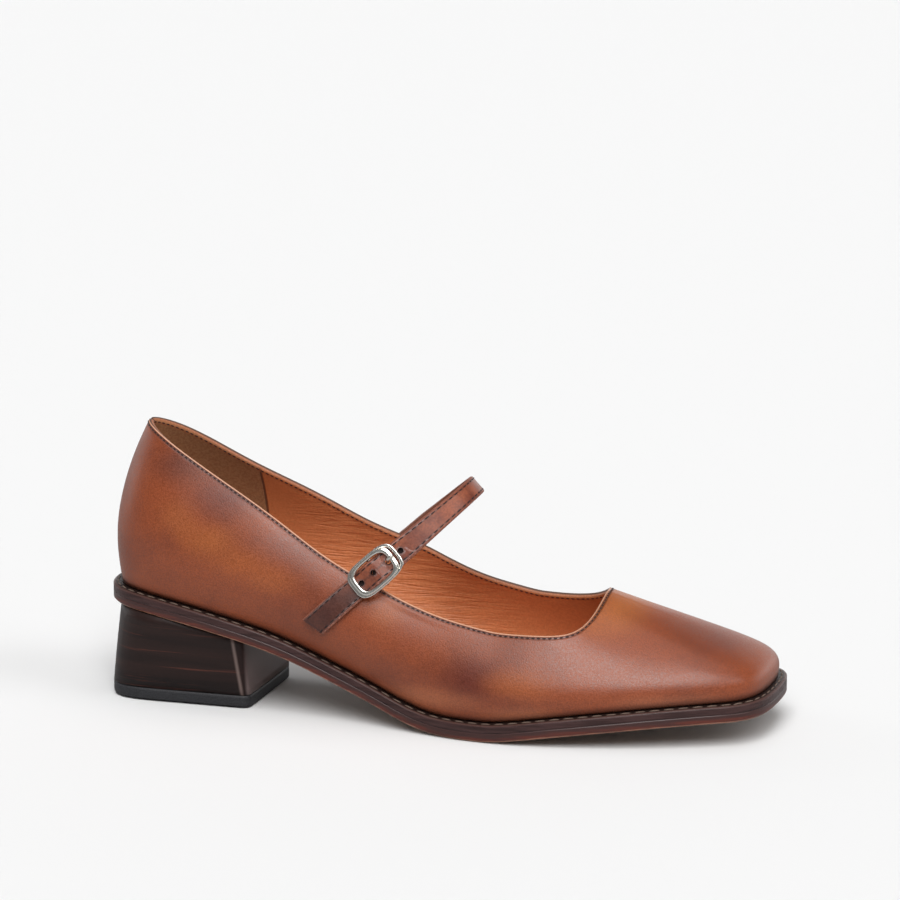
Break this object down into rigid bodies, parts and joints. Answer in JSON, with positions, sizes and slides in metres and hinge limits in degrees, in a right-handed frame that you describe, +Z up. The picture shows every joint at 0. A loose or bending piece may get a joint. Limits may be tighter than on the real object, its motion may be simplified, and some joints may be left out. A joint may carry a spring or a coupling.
{
  "type": "mary jane shoe",
  "caption": "Right mary jane shoe with a square toe, low block heel, stitched welt and a narrow buckled strap over the instep; empty, with the strap fastened.",
  "frame": {"origin": "on the resting face under the heel, on the shoe's middle line; the floor is z = 0", "axes": "+X from the heel towards the toe, -Y towards the outside of the foot where the buckle is, +Z up"},
  "size_m": [0.2541, 0.0856, 0.1031],
  "materials": {
    "outsole_leather": "burnished edge",
    "welt_leather": "satin",
    "insole_leather": "matte",
    "upper_leather": "burnished satin",
    "heel_stack": "polished stacked layers",
    "top_lift_rubber": "matte",
    "strap_leather": "satin",
    "nickel": "polished nickel plate"
  },
  "bodies": {
    "root": {"outsole": "outsole_leather", "welt": "welt_leather", "insole": "insole_leather", "upper": "upper_leather", "heel_block": "heel_stack", "top_lift": "top_lift_rubber", "strap": "strap_leather", "buckle_frame": "nickel", "buckle_prong": "nickel", "buckle_tab": "strap_leather"}
  },
  "joints": []
}
